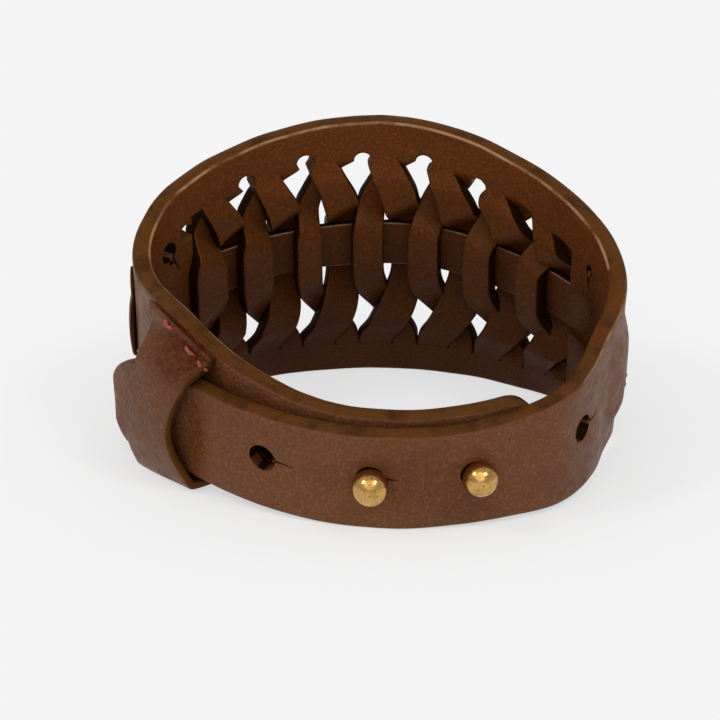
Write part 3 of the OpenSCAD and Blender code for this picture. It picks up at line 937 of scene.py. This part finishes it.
def plain_floor(name, colour, glow):
    """Matt lit table top with a barely seen tooth."""
    material, tree, shader, where = new_material(name)
    tooth = ramp(tree, noise(tree, where, 900.0, 2.0), 0.3, 0.7, 0.0, 0.02)
    tree.links.new(blend_colour(tree, tooth, colour, (0.3, 0.3, 0.3)), shader.inputs["Base Color"])
    shader.inputs["Emission Color"].default_value = (1, 1, 1, 1)
    shader.inputs["Emission Strength"].default_value = glow
    shader.inputs["Roughness"].default_value = 0.9
    shader.inputs["Specular IOR Level"].default_value = 0.1
    return material


# Settings

class BraceletSizes(bpy.types.PropertyGroup):
    """Sizes that a user may change, in metres."""
    edge_round: FloatProperty(name="Edge rounding", description="Radius of the burnished edges",
                              default=0.00055, min=0.0002, max=0.0009, precision=5, unit="LENGTH")
    strip_corner: FloatProperty(name="Strip rounding", description="Radius of a strip's edges",
                                default=0.0004, min=0.0001, max=0.0007, precision=5, unit="LENGTH")
    hole_flare: FloatProperty(name="Hole rounding", description="Rounding of the strap holes' rims",
                              default=0.0003, min=0.00005, max=0.0006, precision=5, unit="LENGTH")
    stitch_radius: FloatProperty(name="Thread radius", description="Radius of the sewing thread",
                                 default=0.00033, min=0.0001, max=0.0006, precision=5, unit="LENGTH")


class BraceletColours(bpy.types.PropertyGroup):
    """Colours that a user may change."""
    outer: FloatVectorProperty(name="Outer leather", description="Grain side of the leather",
                               default=(0.122, 0.043, 0.0155), size=3, min=0, max=1, subtype="COLOR")
    inner: FloatVectorProperty(name="Inner leather", description="Inner face of the leather",
                               default=(0.103, 0.028, 0.0042), size=3, min=0, max=1, subtype="COLOR")
    edge: FloatVectorProperty(name="Burnished edge", description="Cut edges of the leather",
                              default=(0.092, 0.031, 0.0055), size=3, min=0, max=1, subtype="COLOR")
    # Colour of the rim line: partly wear, partly a painted highlight
    rim: FloatVectorProperty(name="Rim highlight and wear", description="Lighter line along the rims, partly painted highlight",
                             default=(0.33, 0.19, 0.10), size=3, min=0, max=1, subtype="COLOR")
    thread: FloatVectorProperty(name="Thread", description="Sewing thread",
                                default=(0.33, 0.06, 0.03), size=3, min=0, max=1, subtype="COLOR")
    brass: FloatVectorProperty(name="Brass", description="Ball studs",
                               default=(0.60, 0.36, 0.11), size=3, min=0, max=1, subtype="COLOR")


class BraceletStage(bpy.types.PropertyGroup):
    """Floor and light."""
    sky: FloatProperty(name="Sky", description="Strength of the even light from all sides",
                       default=0.55, min=0)
    glow: FloatProperty(name="Table light", description="Light that the table itself gives",
                        default=0.572, min=0)
    key: FloatProperty(name="Key light", description="Strength of the wide soft light from the front",
                       default=0.95, min=0)
    glint: FloatProperty(name="Glints", description="Strength of each small light that shines on the balls",
                         default=0.5, min=0)


# Operators

def in_mm(length):
    """A setting's metres in millimetres."""
    return 1000 * length


def add_piece(name, shells, material, slot, *nodes, cutters=()):
    """A finished piece: it moves with the bracelet, stands for its solids and takes the given material; slot
    is not used.
    """
    thing = add_mesh(name, shells, [material])
    if cutters:
        cut_away(thing, cutters)
    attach(thing, "root")
    if nodes:
        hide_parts(*nodes)


class BRACELET_OT_stage(bpy.types.Operator):
    """Adds the camera, the pale floor and the soft light."""
    bl_idname = "bracelet.stage"
    bl_label = "Stage"

    def execute(self, context):
        scene = context.scene
        settings = scene.bracelet_stage
        scene.view_settings.view_transform = "Standard"
        self.add_camera(scene)
        corners = [(x * TABLE_HALF, y * TABLE_HALF, 0) for x, y in ((-1, -1), (1, -1), (1, 1), (-1, 1))]
        mesh = bpy.data.meshes.new("floor")
        mesh.from_pydata(corners, [], [(0, 1, 2, 3)])
        mesh.materials.append(plain_floor("pale_table", TABLE_COLOUR, settings.glow))
        floor = bpy.data.objects.new("floor", mesh)
        scene.collection.objects.link(floor)
        world = bpy.data.worlds.new("studio")
        world.use_nodes = True
        back = world.node_tree.nodes["Background"]
        back.inputs["Color"].default_value = (1, 1, 1, 1)
        back.inputs["Strength"].default_value = settings.sky
        scene.world = world
        for name, source, width in LIGHTS:
            self.add_light(scene, name, source, settings.key if name == "key" else settings.glint, width)
        return {"FINISHED"}

    def add_camera(self, scene):
        """The photograph's camera: its place and axes in the upright frame, turned as the bracelet rests."""
        e = CAMERA_ELEVATION
        middle = np.array([0.0, -CAMERA_DISTANCE * math.cos(e), CAMERA_DISTANCE * math.sin(e)])
        axes = np.array([[1, 0, 0], [0, math.sin(e), math.cos(e)], [0, -math.cos(e), math.sin(e)]])
        data = bpy.data.cameras.new("camera")
        data.sensor_width = 36.0
        data.lens = FOCAL_PIXELS / PHOTO_PIXELS * data.sensor_width
        data.shift_x = (PHOTO_PIXELS / 2 - CENTRE_X) / PHOTO_PIXELS
        data.shift_y = (CENTRE_Y - PHOTO_PIXELS / 2) / PHOTO_PIXELS
        data.clip_start = 0.01
        data.clip_end = 20.0
        camera = bpy.data.objects.new("camera", data)
        turn = Matrix((REST_TURN @ axes.T).tolist()).to_4x4()
        turn.translation = Vector(place(middle).tolist())
        camera.matrix_world = turn
        scene.collection.objects.link(camera)
        scene.camera = camera

    def add_light(self, scene, name, source, strength, width):
        """A far light of a width in degrees, so that the floor stays even."""
        data = bpy.data.lights.new(name, "SUN")
        data.angle = math.radians(width)
        data.energy = strength
        lamp = bpy.data.objects.new(name, data)
        lamp.rotation_mode = "QUATERNION"
        lamp.rotation_quaternion = (-Vector(source)).to_track_quat("-Z", "Y")
        scene.collection.objects.link(lamp)


def face_leather(context, name, grain=1.0, gloss=0.42, shade=1.0):
    """The bracelet's leather, lighter or darker by a factor; the band's and the keeper's darker copies are
    painted shade.
    """
    c = context.scene.bracelet_colours
    tones = (tuple(v * shade for v in colour) for colour in (c.outer, c.inner, c.edge, c.rim))
    return leather_material(name, *tones, grain, gloss)


class BRACELET_OT_cuff(bpy.types.Operator):
    """Adds the panel with its rails, tab and woven strips."""
    bl_idname = "bracelet.cuff"
    bl_label = "Braided cuff"

    def execute(self, context):
        sizes = context.scene.bracelet_sizes
        material = face_leather(context, "cuff_leather")
        cutters = punches()
        # These holes and slits get near-black walls: painted shade
        for s in STUD_PLACES:
            cutters.append(hole_cutter(s - LOOP_LENGTH, 0, HOLE_UP, NECK_R + CLEAR, PUNCH_FLARE))
        for s, up, radius, flare, start, length, wide, turn in END_HOLES:
            cutters.append(hole_cutter(s, 0, up, radius, flare))
            spin = math.radians(turn)
            cutters.append(slit_cutter(s, 0, up, start, length, wide, PANEL_REACH, spin=spin))
        panel = panel_shell(in_mm(sizes.edge_round))
        add_piece("cuff_panel", [panel], material, "cuff_leather", "braided_cuff", cutters=cutters)
        corner = in_mm(sizes.strip_corner)
        strips = [strip_shell(pair, family, corner) for pair in range(PAIRS) for family in (-1, 1)]
        add_piece("cuff_strips", strips, material, "cuff_leather", "braided_cuff", cutters=punches())
        return {"FINISHED"}


class BRACELET_OT_band(bpy.types.Operator):
    """Adds the thin centre band."""
    bl_idname = "bracelet.band"
    bl_label = "Centre band"

    def execute(self, context):
        # Painted shade: the band's leather is a darker copy, 0.85 of the bracelet's colours
        material = face_leather(context, "band_leather", grain=0.8, shade=0.85)
        add_piece("band", [band_shell(BAND_CORNER)], material, "band_leather", "centre_band")
        return {"FINISHED"}


class BRACELET_OT_strap(bpy.types.Operator):
    """Adds the outer strap with its four holes and slits."""
    bl_idname = "bracelet.strap"
    bl_label = "Outer strap"

    def execute(self, context):
        sizes = context.scene.bracelet_sizes
        cutters = []
        # The strap's holes and slits get near-black walls: painted shade
        for s, slit in zip(STRAP_HOLES, SLITS):
            turn = math.atan(float(strap_out(s + 0.5) - strap_out(s - 0.5)))
            out = float(strap_out(s))
            cutters.append(hole_cutter(s, out, HOLE_UP, HOLE_R, in_mm(sizes.hole_flare), turn))
            start, length = 0.4 - HOLE_R, -slit - 0.4
            cutters.append(slit_cutter(s, out, HOLE_UP, start, length, SLIT_WIDTH, STRAP_REACH, turn))
        strap = strap_shell(in_mm(sizes.edge_round))
        material = face_leather(context, "strap_leather")
        add_piece("strap", [strap], material, "strap_leather", "outer_strap", cutters=cutters)
        return {"FINISHED"}


class BRACELET_OT_keeper(bpy.types.Operator):
    """Adds the keeper."""
    bl_idname = "bracelet.keeper"
    bl_label = "Keeper"

    def execute(self, context):
        # Painted shade: the keeper's leather is a darker copy, 0.86 of the bracelet's colours
        material = face_leather(context, "keeper_leather", grain=0.8, gloss=0.36, shade=0.86)
        add_piece("keeper_loop", [keeper_shell(KEEPER_CORNER)], material, "keeper_leather", "keeper")
        return {"FINISHED"}


class BRACELET_OT_stitches(bpy.types.Operator):
    """Adds the red stitches that hold the keeper and the band's right end."""
    bl_idname = "bracelet.stitches"
    bl_label = "Stitches"

    def execute(self, context):
        radius = in_mm(context.scene.bracelet_sizes.stitch_radius)
        shells = []
        for k, (s, up) in enumerate(KEEPER_STITCHES):
            rows = np.linspace(ARCH_PART, 1, 60)
            outs, ups = keeper_mid(s + 0 * rows, rows)
            top = float(np.interp(up, ups, outs)) + KEEPER_T / 2 + 0.15
            shells.append(stitch_shell(s - LOOP_LENGTH, top, up, *KEEPER_STITCH, radius, k))
        for k, (s, up) in enumerate(SEAM_STITCHES):
            top = LEATHER / 2 + float(swelling(s, up)) - 0.3
            shells.append(stitch_shell(s, top, up, *SEAM_STITCH, radius, 10 + k))
        red = thread_material("red_thread", context.scene.bracelet_colours.thread)
        add_piece("red_stitches", shells, red, "keeper_leather")
        return {"FINISHED"}


class BRACELET_OT_studs(bpy.types.Operator):
    """Adds the two ball studs."""
    bl_idname = "bracelet.studs"
    bl_label = "Ball studs"

    def execute(self, context):
        brass = brass_material("stud_brass", context.scene.bracelet_colours.brass)
        for node, along, *ball in STUDS:
            add_piece(node + "_turned", [stud_shell(along - LOOP_LENGTH, *ball)], brass, "stud_brass", node)
        return {"FINISHED"}


OPERATORS = (BRACELET_OT_stage, BRACELET_OT_cuff, BRACELET_OT_band, BRACELET_OT_strap,
             BRACELET_OT_keeper, BRACELET_OT_stitches, BRACELET_OT_studs)


class BRACELET_PT_sidebar(bpy.types.Panel):
    """Lists the settings and the operators."""
    bl_label = "Bracelet"
    bl_idname = "BRACELET_PT_sidebar"
    bl_space_type = "VIEW_3D"
    bl_region_type = "UI"
    bl_category = "Bracelet"

    def draw(self, context):
        scene = context.scene
        for group in (scene.bracelet_sizes, scene.bracelet_colours, scene.bracelet_stage):
            box = self.layout.box()
            for key in group.__annotations__:
                box.prop(group, key)
        for operator in OPERATORS:
            self.layout.operator(operator.bl_idname)


GROUPS = (("bracelet_sizes", BraceletSizes), ("bracelet_colours", BraceletColours),
          ("bracelet_stage", BraceletStage))
CLASSES = (*(group for _, group in GROUPS), *OPERATORS, BRACELET_PT_sidebar)


def register():
    """Makes the classes known and hangs the settings on the scene."""
    for cls in CLASSES:
        bpy.utils.register_class(cls)
    for name, group in GROUPS:
        setattr(bpy.types.Scene, name, PointerProperty(type=group))


def unregister():
    """Takes the settings and the classes away again."""
    for name, _ in GROUPS:
        delattr(bpy.types.Scene, name)
    for cls in reversed(CLASSES):
        bpy.utils.unregister_class(cls)


def main():
    """Adds every piece."""
    register()
    bpy.ops.bracelet.stage()
    bpy.ops.bracelet.cuff()
    bpy.ops.bracelet.band()
    bpy.ops.bracelet.strap()
    bpy.ops.bracelet.keeper()
    bpy.ops.bracelet.stitches()
    bpy.ops.bracelet.studs()


if __name__ == "__main__":
    main()
